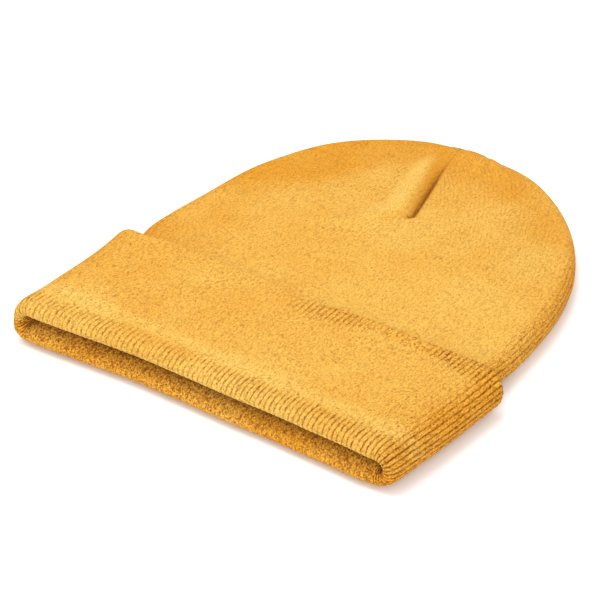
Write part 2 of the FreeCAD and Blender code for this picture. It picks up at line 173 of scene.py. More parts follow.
def taken_in(wale, y, under):
    """Where the ribs go on the crown. Each row keeps as many ribs as fit at their closest spacing;
    the rest are taken into the darts, half at the fold and half at the middle of the panel.
    Returns the section coordinate c of every rib, and how deep it lies inside a seam."""
    arc = quarter_length(half_width(y), 0.5 * (top_level(y) - low_level(y)) * crown_close(y), ROLL)
    lost = np.maximum(0, WALES - arc / TIGHT) / 2
    share = smooth((y - DART_FOOT + 3) / 6)
    middle, side = np.maximum(lost * share, 1e-6), np.maximum(lost * (2 - share), 1e-6)
    foot = 0 if under else DART_WALE
    seam = 0 * y if under else foot / WALES * (1 - share) + np.clip(dart_x(y) / arc, -1, 1) * share
    reach_left = np.maximum(WALES - side + foot - middle, 0.02)
    reach_right = np.maximum(WALES - side - foot - middle, 0.02)
    left = seam - (1 + seam) * np.clip((foot - middle - wale) / reach_left, 0, None)
    right = seam + (1 - seam) * np.clip((wale - foot - middle) / reach_right, 0, None)
    c = np.where(wale < foot, left, right)
    past = np.clip(np.abs(wale) - WALES, 0, None) * np.sign(wale) / WALES
    c = np.clip(c, -1, 1) + past
    in_middle = np.clip(1 - np.abs(wale - foot) / middle, 0, 1) * np.minimum(3.0, 2 * middle)
    in_side = np.clip((np.abs(wale) - WALES + side) / side, 0, 1) * np.minimum(2.5, 2 * side)
    return c, np.maximum(in_middle, in_side)


def along_dart(x, y):
    """Distance to the right of the front dart's crease, and how far up the dart: 0 at its point and
    1 near the top of the crown."""
    return x - dart_x(y), (y - DART_FOOT) / 60


def crown_relief(x, y):
    """Height added to the shell's upper face: the broad ridge left of the front dart, the crease
    itself, a small fold right of its top, the gathers round the top of the crown, and the fabric's
    unevenness."""
    away, up = along_dart(x, y)
    held = smooth((up + 0.03) / 0.09) * smooth((0.98 - up) / 0.42)
    ridge = 2.9 * hump(away, -9.5 + 2.0 * up, 5.6)
    ridge = ridge * smooth((up + 0.55) / 0.75) * smooth((1.15 - up) / 0.5)
    crease = -2.6 * np.exp(-np.abs(away + 0.4) / 1.5) * held
    fold = 1.2 * hump(away, 3.2, 2.0) * smooth((up - 0.35) / 0.25) * smooth((1.05 - up) / 0.25)
    knot = 2.0 * hump(x, -4.0, 11.0) * hump(y, 229.0, 7.0)
    gather = 0.3 * np.cos(np.arctan2(x + 4, 240 - y) * 14) * smooth((y - 208) / 20)
    uneven = 0.5 * waves(x, y, 3, 75.0) + 0.22 * waves(x, y, 4, 26.0)
    return ridge + crease + fold + knot + gather + uneven


def shell_surface(wale, y, under, inset=0.0):
    """The shell's outer face, or a face that lies inset millimetres inside it: the flat tube's
    section at each row, sunk into the seams where the darts take the ribs in."""
    c, depth = taken_in(wale, y, under)
    top, low, close = top_level(y), low_level(y), crown_close(y)
    w = np.maximum(half_width(y) - inset, 0.3)
    middle = 0.5 * (top + low) * (1 - 0.12 * (1 - close))
    h = np.maximum(0.5 * (top - low) * close - inset, 0.15)
    x, z, nx, nz = section(2 - c if under else c, w, h, max(ROLL - inset, 2.0))
    if under:
        z = z - 0.8 * np.clip(-nz, 0, 1) * smooth((y - 84) / 20) * waves(x, y, 8, 60.0) ** 2
    else:
        flatness = smooth((w - np.abs(x)) / 14)
        relief = crown_relief(x, y) * (flatness if inset == 0 else 0.35 * flatness)
        fall = 1.2 * smooth((np.abs(x) / w - 0.55) / 0.45) * flatness
        z = z + relief * smooth((y - 60) / 30) - fall
    inside = np.where(np.abs(c) > 1, 0.9 * smooth((np.abs(c) - 1) * WALES), 0) if under else 0
    sunk = depth * (np.abs(c) <= 1) + inside
    return settle(np.stack([x - nx * sunk, y + 0 * x, middle + z - nz * sunk], -1)), depth


def free_edge(c):
    """How far the cuff's free edge lies from the mouth: not quite straight at the front."""
    across = np.where(c > 1, 2 - c, c)
    front = 78.4 + 2.4 * smooth((across - 0.05) / 0.35) - 1.6 * hump(across, 0.02, 0.09)
    front = front - 2.6 * smooth((-across - 0.62) / 0.25) - 3.4 * smooth((across - 0.84) / 0.16)
    return np.where(c > 1, CUFF, front + 0.25 * np.sin(across * 41))


def cuff_profile(first, last=90.0):
    """The cuff's profile as rows of (y measured from the mouth, y measured from the free edge, layers
    out, share of the way), starting at the lip angle first in degrees: -90 is the inside of the lip
    and 90 its top. Below -90 it runs straight into the mouth, one millimetre a degree. With last at
    90 it goes on along the facing to the hem, round it, and back underneath to the lip."""
    rows = []
    for d in np.linspace(-90 - first, 0, max(int((-90 - first) / 2.5), 2), endpoint=False):
        if first < -90:
            rows.append((LIP + d, 0.0, -TURN_UP, 0.0))
    for turn in np.radians(np.linspace(max(first, -90), last, 26)):
        rows.append((LIP - LIP * math.cos(turn), 0.0, TURN_UP * math.sin(turn), 0.0))
    if last < 90:
        return np.array(rows)
    for share in np.linspace(0, 1, 36)[1:-1]:
        rows.append((LIP * (1 - share), -HEM * share, TURN_UP - 0.15 * share, share))
    for turn in np.radians(np.linspace(90, -90, 11)):
        rows.append((0.0, -HEM + HEM * math.cos(turn), 2.0 + 1.85 * math.sin(turn), 1.0))
    for share in np.linspace(1, 0.14, 14):
        rows.append((0.0, -HEM, 0.2, share))
    return np.array(rows)


def cuff_surface(c, profile, shrink=0.0):
    """The cuff's points for section coordinates c (one row) and a profile (one column each)."""
    c, from_lip, from_edge, out, share = (v[:, None] if n else v[None, :] for n, v in
                                          enumerate([c, *profile.T]))
    y = from_lip + share * free_edge(c) + from_edge + 0 * c
    lower = smooth((c - 1.02) / 0.08) * smooth((2.98 - c) / 0.08)
    swell = (1.0 + 1.2 * lower) * hump(y, 6, 9) * np.clip(0.5 - 0.5 * out / TURN_UP, 0, 1)
    near_fold = np.abs(np.mod(c, 2) - 1)
    out = out - swell * smooth((near_fold - 0.06) / 0.12) - shrink
    w = LIP_HALF + FLARE * np.clip(y / CUFF, 0, 1.1) ** 1.15 - 1.0 * hump(y, 0, 9)
    half = 10.0 + 1.0 * smooth((60 - y) / 60)
    x, z, nx, nz = section(c + 0 * y, w, half, ROLL + TURN_UP)
    deep = TURN_UP - out
    on_top = smooth((nz - 0.2) / 0.8) * smooth(y / 25)
    z = z + on_top * (0.45 * waves(x, y, 5, 60.0) + 0.2 * waves(x, y, 6, 22.0))
    y_lip = y + 0.5 * waves(x, 0 * x, 7, 40.0) * smooth((20 - y) / 20)
    return settle(np.stack([x - nx * deep, y_lip, half + z - nz * deep], -1)), y, out, c + 0 * y


# ---------------------------------------------------------------- ribs and meshes
def outward(points):
    """Unit normals of a grid of points, from its two directions."""
    n = np.cross(np.gradient(points, axis=1), np.gradient(points, axis=0))
    return n / np.maximum(np.linalg.norm(n, axis=-1, keepdims=True), 1e-9)


def rib_height(wale):
    """One rib's cross-section: a half ellipse with a sharp groove at each whole number."""
    return np.sqrt(np.clip(1 - 0.97 * (2 * (wale % 1) - 1) ** 2, 0, 1))


def grid_mesh(name, points, material, flip=False, **attributes):
    """A mesh from a grid of points in millimetres (rows, columns, 3) with one value per point in
    each attribute; the attributes wale and course become the piece's map."""
    rows, cols = points.shape[:2]
    co = (points + np.array([0, SHIFT, 0])).reshape(-1, 3) / 1000
    first = (np.arange(rows - 1)[:, None] * cols + np.arange(cols - 1)[None, :]).ravel()
    quads = np.stack([first, first + 1, first + cols + 1, first + cols], 1)
    quads = quads[:, ::-1] if flip else quads
    mesh = bpy.data.meshes.new(name)
    mesh.vertices.add(len(co))
    mesh.vertices.foreach_set("co", co.ravel())
    mesh.loops.add(quads.size)
    mesh.loops.foreach_set("vertex_index", quads.ravel())
    mesh.polygons.add(len(quads))
    mesh.polygons.foreach_set("loop_start", np.arange(len(quads)) * 4)
    mesh.update(calc_edges=True)
    mesh.polygons.foreach_set("use_smooth", np.ones(len(quads), bool))
    if "wale" in attributes:
        layer = mesh.uv_layers.new(name="knit")
        uv = np.stack([attributes.pop("wale").ravel(), attributes.pop("course").ravel()], 1)
        layer.data.foreach_set("uv", uv[quads.ravel()].ravel().astype(np.float32))
    for key, value in attributes.items():
        held = mesh.attributes.new(key, "FLOAT", "POINT")
        held.data.foreach_set("value", np.broadcast_to(value, (rows, cols)).ravel().astype(np.float32))
    mesh.validate()
    mesh.materials.append(material)
    obj = bpy.data.objects.new(name, mesh)
    bpy.context.scene.collection.objects.link(obj)
    return obj


def ribbed(points, wale, course, flip, flat=1.0, sunk=0.0, **looks):
    """A knitted face: its points raised into ribs along their normals and lowered by sunk, and one
    value per point of each thing its mesh keeps. wale counts ribs across and course is the distance
    along the rib in millimetres. looks holds spread (how far the ribs stand apart, which also sets the
    painted shade in their grooves), fleck (how speckled the yarn is), pale (how light it is: painted
    light and shade, with some tone at random) and shut (painted shade where a fold hides it from the
    light), each from 0 to 1."""
    n = outward(points) * (-1 if flip else 1)
    each = np.floor(wale)
    lump = 1 + 0.22 * np.sin(course / 9.0 + each * 2.4) * np.sin(each * 7.7) + 0.12 * np.sin(each * 3.1)
    depth = (0.07 + 0.56 * looks["spread"]) * lump * flat
    raised = points + n * ((rib_height(wale) - 1) * depth - sunk)[..., None]
    kept = dict(looks, wale=wale, course=course)
    return raised, {key: np.clip(value, 0, 1) + 0 * depth if key in looks else value + 0 * depth
                    for key, value in kept.items()}


def cut_piece(name, face, material, flip, rows=slice(None), ribs=slice(None)):
    """The mesh of a knitted face between some of its grid's rows and columns."""
    points, kept = face
    return grid_mesh(name, points[rows, ribs], material, flip,
                     **{key: value[rows, ribs] for key, value in kept.items()})


def columns(start, end, per_rib):
    """Rib coordinates of a grid's columns, with a column in every groove."""
    return np.linspace(start, end, int(round(abs(end - start) * per_rib)) + 1)


def crown_rows(first, count):
    """Rows from first to the top of the crown, evenly spaced along the hat's outline."""
    y = LENGTH - (LENGTH - first) * (1 - np.linspace(0, 1, 4000)) ** 2.2
    y = np.minimum(y, LENGTH - 0.02)
    run = np.r_[0, np.cumsum(np.hypot(np.diff(y), np.diff(half_width(y))))]
    return np.interp(np.linspace(0, run[-1], count), run, y)


def shell_face(reach, per_rib, y, under, inset, flip, sunk=0.0):
    """One face of the shell or the lining as far as reach ribs to each side, with rows at y. Painted
    shade darkens the yarn towards the folds, round the crown's outline (more on its left), on the slope
    left of the front dart and in its crease, and a painted highlight lightens the ridge beside that.
    The grooves' painted shade is stronger towards the folds."""
    wale, y = np.meshgrid(columns(-reach, reach, per_rib), y)
    points, depth = shell_surface(wale, y, under, inset)
    x = points[..., 0]
    edge = smooth((np.abs(wale) - WALES + 6) / 6)
    away, up = along_dart(x, y)
    beside = smooth((up + 0.3) / 0.5) * smooth((1.1 - up) / 0.4) * (not under)
    # slope and ridge: where painted shade and a painted highlight fall beside the front dart
    slope, ridge = hump(away, -2.6, 2.6) * beside, hump(away, -11.5 + 2 * up, 4.5) * beside
    # spread: deeper ribs and more painted shade in their grooves towards the folds
    spread = 0.05 + 0.62 * edge * smooth((225 - y) / 60) - 0.04 * (slope + ridge)
    grain = 0.31 + 0.3 * edge + 0.07 * waves(x, y, 14, 40.0) - 0.14 * (slope + ridge)
    # shut: painted shade in the front dart's crease
    shut = 0.85 * hump(away, -0.2, 1.3) * smooth((up + 0.04) / 0.06) * (not under)
    shut = shut * smooth((1.0 - up) / 0.5)
    # rim: painted shade round the crown's outline, more on its left
    rim = smooth((52 - np.minimum(half_width(y) - np.abs(x), LENGTH - y)) / 36)
    rim = rim * np.maximum(smooth((10 - x) / 50), 0.40 * smooth((y - 165) / 45))
    rim = rim * (0.35 + 0.65 * smooth((y - 140) / 40))
    # pale: painted shade towards the folds, round the rim, on the slope and in the crease, a painted
    # highlight on the ridge, and some tone at random
    pale = 0.60 - 0.50 * edge - rim - 0.55 * slope + 0.62 * ridge - 0.5 * shut
    sink = sunk * smooth((CROWN - y) / 2.5)
    return ribbed(points, wale, y, flip, 1 - smooth(depth / 0.5), sink,
                  spread=spread, fleck=grain, pale=pale + 0.12 * waves(x, y, 15, 55.0), shut=shut)


def cuff_piece(name, start, end, profile, material, shrink=0.0):
    """Part of the cuff between two ribs: -42 at the left fold, 42 at the right, 126 back at the
    left. The ribs stand apart on the lip, at the folds and at the hem, with painted shade in their
    grooves there. Painted shade also darkens the folds, the underside (the lower lip included) and the
    inside of the mouth, and a painted highlight lightens a band above the lip, the lip's rim and its
    front."""
    u = columns(start, end, CUFF_COLUMNS)
    points, y, out, c = cuff_surface(u / WALES, profile, shrink)
    x = points[..., 0]
    course = np.cumsum(np.linalg.norm(np.diff(points, axis=0, prepend=points[:1]), axis=-1), axis=0)
    across = np.where(c > 1, 2 - c, c)
    top = c <= 1
    free = free_edge(c)
    # side: deeper ribs and painted shade towards the folds, more on the right
    side = smooth((np.abs(across) - 0.82) / 0.12) * (0.45 + 0.55 * smooth((across + 0.2) / 0.6))
    side = side + 0.22 * smooth((across - 0.55) / 0.3) * top
    inner = smooth((2.0 - out) / 4.0) * smooth((30 - y) / 12)
    right = smooth((across + 0.25) / 0.55)
    # lip: deeper ribs and painted shade in the lip's grooves
    lip = smooth((13.5 - y) / 4.5) * np.where(top, (0.60 + 0.22 * right) * (1 - 0.4 * inner), 0.26)
    patch = np.clip(0.55 + 1.9 * waves(u[None, :] * 2.3, 0.6 * y, 12, 30.0), 0, 1.1)
    # strokes: painted shade in the grooves just in front of the free edge, in patches, stronger to the
    # right
    strokes = smooth((y - (free - 10.5 - 4 * patch)) / 6) * (out > 1.0) * (0.05 + 0.75 * right) * top
    spread = 0.04 + 0.85 * side + lip + strokes * (0.25 + 0.75 * patch)
    grain = 0.37 + 0.2 * side + 0.25 * strokes + 0.08 * waves(x, y, 16, 40.0)
    grain = grain + np.where(top, 0.1 * inner, 0.34 * inner + 0.18 * smooth((16 - y) / 8))
    # shut: painted shade inside the mouth
    shut = np.where(top, 0.6 * smooth((-2.2 - out) / 1.6), 0.1 * smooth((-2.2 - out) / 2.0))
    # bright and rim: painted highlight on a band above the lip and on the lip's rim
    bright = hump(y, 16, 5) * top * (out > 1.0)
    rim = hump(out, -1.6, 1.2) * smooth((9 - y) / 4) * top
    # pale: painted highlight above the lip, on its rim and front, painted shade at the folds, on the
    # hem strokes and underneath, and some tone at random
    pale = 0.52 + 0.42 * bright + 0.5 * rim - 0.42 * side + 0.25 * smooth((9 - y) / 6) * top
    pale = pale - 0.25 * strokes - 0.30 * (c > 1) + 0.12 * waves(x, y, 17, 55.0)
    face = ribbed(points, u[None, :], course, False, spread=spread, fleck=grain, pale=pale, shut=shut)
    return cut_piece(name, face, material, False)


def thread(name, path, radius, material, sides=6):
    """A thread: a circle of that radius carried along the path (count, 3), closed at both ends."""
    path = np.asarray(path, float)
    along = np.gradient(path, axis=0)
    along /= np.maximum(np.linalg.norm(along, axis=1, keepdims=True), 1e-9)
    side = np.cross(along, np.array([0.1, 0.2, 1.0]))
    side /= np.maximum(np.linalg.norm(side, axis=1, keepdims=True), 1e-9)
    up = np.cross(side, along)
    turn = np.linspace(0, math.tau, sides + 1)[None, :, None]
    size = np.ones(len(path))[:, None, None] * radius
    size[0] = size[-1] = 0.02
    ring = path[:, None] + size * (np.cos(turn) * side[:, None] + np.sin(turn) * up[:, None])
    return grid_mesh(name, ring, material)


# ---------------------------------------------------------------- materials
def node(tree, kind, links=(), **settings):
    """Adds a node. settings set its properties; links fill its inputs, by socket name or number,
    from a socket or a plain value."""
    made = tree.nodes.new(kind)
    for key, value in settings.items():
        setattr(made, key, value)
    for key, value in dict(links).items():
        if isinstance(value, bpy.types.NodeSocket):
            tree.links.new(value, made.inputs[key])
        else:
            made.inputs[key].default_value = value
    return made


def maths(tree, operation, a, b=0.0, clamp=False):
    """One sum of two values, held between 0 and 1 if clamp is set."""
    return node(tree, "ShaderNodeMath", {0: a, 1: b}, operation=operation, use_clamp=clamp).outputs[0]


def ease(tree, value, start, end, low=0.0, high=1.0):
    """Even ease of value from low at start to high at end."""
    return node(tree, "ShaderNodeMapRange", {"Value": value, "From Min": start, "From Max": end,
                "To Min": low, "To Max": high}, interpolation_type="SMOOTHSTEP").outputs[0]


def noise(tree, place, scale, detail=2.0, roughness=0.5):
    """A noise value at that place; scale is in lumps to the metre."""
    return node(tree, "ShaderNodeTexNoise", {"Vector": place, "Scale": scale, "Detail": detail,
                "Roughness": roughness}).outputs[0]


def mix_colour(tree, share, a, b):
    """The colour that share of the way from a to b."""
    made = node(tree, "ShaderNodeMix", data_type="RGBA")
    factor, first, second = (next(s for s in made.inputs if s.name == n and s.enabled)
                             for n in ("Factor", "A", "B"))
    for target, value in ((factor, share), (first, a), (second, b)):
        if isinstance(value, bpy.types.NodeSocket):
            tree.links.new(value, target)
        else:
            target.default_value = value
    return next(s for s in made.outputs if s.enabled)


def new_group(name, inputs, outputs):
    """A node group with the named inputs (name: (kind, value)) and outputs (name: kind)."""
    g = bpy.data.node_groups.new(name, "ShaderNodeTree")
    for key, (kind, value) in inputs.items():
        made = g.interface.new_socket(name=key, in_out="INPUT", socket_type="NodeSocket" + kind)
        if value is not None:
            made.default_value = value
    for key, kind in outputs.items():
        g.interface.new_socket(name=key, in_out="OUTPUT", socket_type="NodeSocket" + kind)
    return g, g.nodes.new("NodeGroupInput").outputs, g.nodes.new("NodeGroupOutput").inputs


def rib_knit_group():
    """Fine rib knit. Wale counts ribs across and Course is millimetres along them: a line of painted
    shade in each groove, wandering a little, and two slanting legs to every stitch."""
    g, ins, outs = new_group("rib_knit", {
        "Wale": ("Float", 0.0), "Course": ("Float", 0.0), "Position": ("Vector", None),
        "Spread": ("Float", 0.0), "Stitch Length": ("Float", 1.6), "Wander": ("Float", 0.5)},
        {"Groove": "Float", "Legs": "Float", "Height": "Float"})
    drift = maths(g, "SUBTRACT", noise(g, ins["Position"], 480.0, 2.0), 0.5)
    phase = maths(g, "FRACT", maths(g, "ADD", ins["Wale"], maths(g, "MULTIPLY", drift, ins["Wander"])))
    off_middle = maths(g, "ABSOLUTE", maths(g, "SUBTRACT", phase, 0.5))
    groove = ease(g, off_middle, 0.27, 0.50)
    rows = maths(g, "ADD", maths(g, "DIVIDE", ins["Course"], ins["Stitch Length"]),
                 maths(g, "MULTIPLY", off_middle, 1.3))
    rows = maths(g, "ADD", rows, drift)
    legs = ease(g, maths(g, "ABSOLUTE", maths(g, "SUBTRACT", maths(g, "FRACT", rows), 0.5)), 0.22, 0.5)
    uneven = ease(g, noise(g, ins["Position"], 420.0, 2.0), 0.38, 0.58, 0.25, 1.0)
    # Groove: painted shade in the grooves, darker where the ribs stand further apart
    dark = maths(g, "MULTIPLY", maths(g, "MULTIPLY", groove, uneven), ins["Spread"], clamp=True)
    g.links.new(dark, outs["Groove"])
    g.links.new(legs, outs["Legs"])
    sunk = maths(g, "ADD", maths(g, "MULTIPLY", groove, maths(g, "ADD", ins["Spread"], 0.25)),
                 maths(g, "MULTIPLY", legs, 0.35))
    g.links.new(maths(g, "SUBTRACT", 1.0, sunk), outs["Height"])
    return g


def yarn_fuzz_group():
    """Brushed yarn: its colour between Deep and Light, set by Pale, which paints light and shade as
    well as the yarn's tone, grains of shadow between the loose fibres, bright fibre ends, painted shade
    towards Shadow by Groove, and a height for the same grains. Fleck sets how strong the grain is."""
    g, ins, outs = new_group("yarn_fuzz", {
        "Position": ("Vector", None), "Light": ("Color", (0.7, 0.4, 0.1, 1)),
        "Deep": ("Color", (0.6, 0.3, 0.02, 1)), "Shadow": ("Color", (0.3, 0.1, 0.01, 1)),
        "Pale": ("Float", 0.6), "Fleck": ("Float", 0.5), "Groove": ("Float", 0.0),
        "Legs": ("Float", 0.0), "Grain": ("Float", 1550.0)},
        {"Color": "Color", "Height": "Float"})
    drawn = node(g, "ShaderNodeVectorMath", {0: ins["Position"], 1: (1.0, 0.5, 1.0)},
                 operation="MULTIPLY")
    grain = noise(g, drawn.outputs[0], ins["Grain"], 2.0, 0.6)
    clumps = noise(g, drawn.outputs[0], maths(g, "MULTIPLY", ins["Grain"], 0.42), 2.0)
    broad = noise(g, ins["Position"], 30.0, 3.0)
    # tone: Pale paints light and shade here, and the broad noise varies the yarn's tone at random
    tone = maths(g, "ADD", ins["Pale"], ease(g, broad, 0.30, 0.70, -0.16, 0.16), clamp=True)
    yarn = mix_colour(g, tone, ins["Deep"], ins["Light"])
    legs = maths(g, "ADD", maths(g, "MULTIPLY", ins["Legs"], 0.5), 0.75)
    shade = maths(g, "MULTIPLY", ease(g, grain, 0.48, 0.72), legs)
    shade = maths(g, "ADD", shade, ease(g, clumps, 0.47, 0.76, 0.0, 0.5))
    # painted shade: Groove, the painted shade of grooves and folds, darkens towards Shadow along with
    # the grain
    dark = maths(g, "ADD", maths(g, "MULTIPLY", shade, ins["Fleck"]), ins["Groove"], clamp=True)
    lit = maths(g, "MULTIPLY", ease(g, grain, 0.50, 0.28), ins["Fleck"])
    gain = maths(g, "ADD", maths(g, "MULTIPLY", lit, 0.36), 1.0)
    toned = node(g, "ShaderNodeHueSaturation", {"Color": yarn, "Value": gain}).outputs[0]
    g.links.new(mix_colour(g, dark, toned, ins["Shadow"]), outs["Color"])
    g.links.new(grain, outs["Height"])
    return g


def knit_material(name, light, deep, shadow, fleck=1.7, bump=0.8):
    """Rib knit in brushed acrylic yarn, from the piece's map and its spread, fleck, pale and shut;
    pale, shut and the grooves paint light and shade into its colour.
    """
    made = bpy.data.materials.new(name)
    made.use_nodes = True
    tree = made.node_tree
    shader = tree.nodes["Principled BSDF"]
    knit_map = node(tree, "ShaderNodeUVMap", uv_map="knit").outputs[0]
    parts = node(tree, "ShaderNodeSeparateXYZ", {0: knit_map})
    place = node(tree, "ShaderNodeTexCoord").outputs["Object"]
    spread, strength, pale, shut = (node(tree, "ShaderNodeAttribute", attribute_name=key).outputs["Fac"]
                                    for key in ("spread", "fleck", "pale", "shut"))
    ribs = node(tree, "ShaderNodeGroup", node_tree=RIB_KNIT)
    for key, value in (("Wale", parts.outputs[0]), ("Course", parts.outputs[1]), ("Position", place),
                       ("Spread", maths(tree, "MULTIPLY", spread, 0.85))):
        tree.links.new(value, ribs.inputs[key])
    fuzz = node(tree, "ShaderNodeGroup", node_tree=YARN_FUZZ)
    for key, colour in (("Light", light), ("Deep", deep), ("Shadow", shadow)):
        fuzz.inputs[key].default_value = (*colour, 1)
    # Groove: the painted shade of the grooves plus the painted shade of folds (shut)
    for key, value in (("Position", place), ("Fleck", maths(tree, "MULTIPLY", strength, fleck)),
                       ("Pale", pale), ("Groove", maths(tree, "ADD", ribs.outputs["Groove"], shut)),
                       ("Legs", ribs.outputs["Legs"])):
        tree.links.new(value, fuzz.inputs[key])
    grains = maths(tree, "MULTIPLY", fuzz.outputs["Height"], 2.2)
    height = maths(tree, "ADD", ribs.outputs["Height"], grains)
    bumped = node(tree, "ShaderNodeBump", {"Height": height, "Strength": bump, "Distance": 0.0004})
    tree.links.new(fuzz.outputs["Color"], shader.inputs["Base Color"])
    tree.links.new(bumped.outputs[0], shader.inputs["Normal"])
    shader.inputs["Roughness"].default_value = 0.95
    shader.inputs["Specular IOR Level"].default_value = 0.15
    shader.inputs["Sheen Weight"].default_value = 0.05
    shader.inputs["Sheen Roughness"].default_value = 0.5
    shader.inputs["Sheen Tint"].default_value = (1.0, 0.72, 0.36, 1)
    return made


def thread_material(name, colour, twist=900.0):
    """Twisted sewing thread: fine slanting bands of light and dark along it."""
    made = bpy.data.materials.new(name)
    made.use_nodes = True
    tree = made.node_tree
    shader = tree.nodes["Principled BSDF"]
    place = node(tree, "ShaderNodeTexCoord").outputs["Object"]
    ply = node(tree, "ShaderNodeTexWave", {"Vector": place, "Scale": twist, "Distortion": 3.0},
               bands_direction="DIAGONAL").outputs["Fac"]
    deep = tuple(0.35 * v for v in colour)
    tree.links.new(mix_colour(tree, ply, (*deep, 1), (*colour, 1)), shader.inputs["Base Color"])
    bumped = node(tree, "ShaderNodeBump", {"Height": ply, "Strength": 0.5, "Distance": 0.0002})
    tree.links.new(bumped.outputs[0], shader.inputs["Normal"])
    shader.inputs["Roughness"].default_value = 0.8
    shader.inputs["Specular IOR Level"].default_value = 0.1
    return made


def tape_material(name, colour):
    """Woven label tape: a fine plain weave of warp and weft, with a faint sheen."""
    made = bpy.data.materials.new(name)
    made.use_nodes = True
    tree = made.node_tree
    shader = tree.nodes["Principled BSDF"]
    place = node(tree, "ShaderNodeTexCoord").outputs["Object"]
    warp, weft = (node(tree, "ShaderNodeTexWave", {"Vector": place, "Scale": 900.0},
                       bands_direction=way).outputs["Fac"] for way in "XY")
    weave = maths(tree, "MULTIPLY", warp, weft)
    deep = tuple(0.72 * v for v in colour)
    tree.links.new(mix_colour(tree, weave, (*deep, 1), (*colour, 1)), shader.inputs["Base Color"])
    bumped = node(tree, "ShaderNodeBump", {"Height": weave, "Strength": 0.4, "Distance": 0.0001})
    tree.links.new(bumped.outputs[0], shader.inputs["Normal"])
    shader.inputs["Roughness"].default_value = 0.55
    return made


RIB_KNIT = rib_knit_group()
YARN_FUZZ = yarn_fuzz_group()
# LIGHT and DEEP bound the yarn's colour; pale mixes between them, so LIGHT is partly painted light and
# DEEP partly painted shade, besides random tone. SHADOW is painted shade for grooves, folds and the
# mouth, and the colour of the yarn's grains.
LIGHT, DEEP, SHADOW = (0.700, 0.420, 0.086), (0.610, 0.262, 0.018), (0.260, 0.084, 0.004)
shell_knit = knit_material("mustard_shell_knit", LIGHT, DEEP, SHADOW)
cuff_knit = knit_material("mustard_cuff_knit", LIGHT, DEEP, SHADOW)
lining_knit = knit_material("mustard_lining_knit", LIGHT, DEEP, SHADOW)
seam_thread = thread_material("mustard_seam_thread", (0.42, 0.19, 0.02))
label_thread = thread_material("white_label_thread", (0.75, 0.74, 0.70))
label_tape = tape_material("white_label_tape", (0.82, 0.81, 0.77))


def bend_across(obj):
    """Bakes the piece's placement into its mesh; it is not attached to a body and nothing bends it."""
    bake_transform(obj)


def body_pieces(layer, material, inset, first, per_rib, count):
    """One layer of the hat's body: the back panel underneath, the crown on top, which stays with
    it, the front panel's middle, and its two sides, which are given to neither panel. Under the front
    panel's end the crown goes on for a few rows, sunk out of sight, so no gap shows at the bend."""
    reach = WALES + 3 * (inset == 0)
    low_face = shell_face(reach, min(per_rib, 6), crown_rows(first, int(count * 0.8)), True, inset,
                          inset == 0)
    low = cut_piece(f"{layer}_under", low_face, material, inset == 0)
    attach(low, "back_panel")
    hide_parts(f"{layer}_back")
    y = crown_rows(first, count)
    end = int(np.searchsorted(y, CROWN))
    flip = inset > 0
    face = shell_face(WALES, per_rib, y, False, inset, flip)
    split = (WALES - SPLIT_WALE) * per_rib
    ribs = {"left": slice(0, split + 1), "middle": slice(split, -split),
            "right": slice(-split - 1, None)}
    for side, sign in (("left", -1), ("right", 1)):
        part = cut_piece(f"{layer}_{side}", face, material, flip, slice(0, end + 1), ribs[side])
        bend_across(part)
    middle = cut_piece(f"{layer}_middle", face, material, flip, slice(0, end + 1), ribs["middle"])
    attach(middle, "front_panel")
    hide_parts(f"{layer}_front")
    skirted = shell_face(WALES, per_rib, y, False, inset, flip, SKIRT_SINK)
    crown = cut_piece(f"{layer}_crown", skirted, material, flip, slice(end - SKIRT_ROWS, None))
    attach(crown, "back_panel")


def cuff_pieces(material):
    """The turned-up cuff: the band under the hat, the sides of the front, the flap in two
    halves, and the rounded lip, which stays with the front panel."""
    whole, flap_only, lip_only = cuff_profile(-114), cuff_profile(-62), cuff_profile(-114, -30.0)
    low = cuff_piece("cuff_under", WALES, 3 * WALES, whole, material)
    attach(low, "back_panel")
    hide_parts("cuff_facing_back", "cuff_backing_back")
    lip = cuff_piece("cuff_lip_middle", -SPLIT_WALE, SPLIT_WALE, lip_only, material, shrink=0.35)
    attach(lip, "front_panel")
    for side, sign in (("left", -1), ("right", 1)):
        start, end = sorted((sign * SPLIT_WALE, sign * WALES))
        part = cuff_piece(f"cuff_{side}", start, end, whole, material)
        bend_across(part)
        start, end = sorted((0, sign * SPLIT_WALE))
        flap = cuff_piece(f"cuff_flap_{side}", start, end, flap_only, material)
        bend_across(flap)
        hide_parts("cuff_facing_front", "cuff_backing_front")


def overcast(line, width=0.5, pitch=2.2):
    """Turns a line into overcast stitches: it swings from side to side by width every pitch."""
    run = np.r_[0, np.cumsum(np.linalg.norm(np.diff(line, axis=0), axis=1))]
    dense = np.linspace(0, run[-1], max(int(run[-1] / pitch * 6), 8))
    line = np.stack([np.interp(dense, run, line[:, k]) for k in range(3)], -1)
    along = np.gradient(line, axis=0)[:, :2]
    side = np.stack([-along[:, 1], along[:, 0], 0 * dense], -1)
    side /= np.maximum(np.linalg.norm(side, axis=1, keepdims=True), 1e-9)
    return line + side * (width * np.sin(dense / pitch * math.tau))[:, None]


def seam(name, wale, under, inset, first, last, lift, nodes):
    """The thread along a dart: the deepest line of that rib between two distances from the mouth,
    raised by lift."""
    y = np.linspace(first, last, 60)[:, None]
    line, _ = shell_surface(np.full_like(y, wale), y, under, inset)
    line = line[:, 0] + np.array([0, 0, lift])
    line[:, 2] = np.maximum(line[:, 2], SEAM_RADIUS + 0.08)
    obj = thread(name, overcast(line), SEAM_RADIUS, seam_thread)
    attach(obj, "back_panel")
    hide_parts(*nodes)


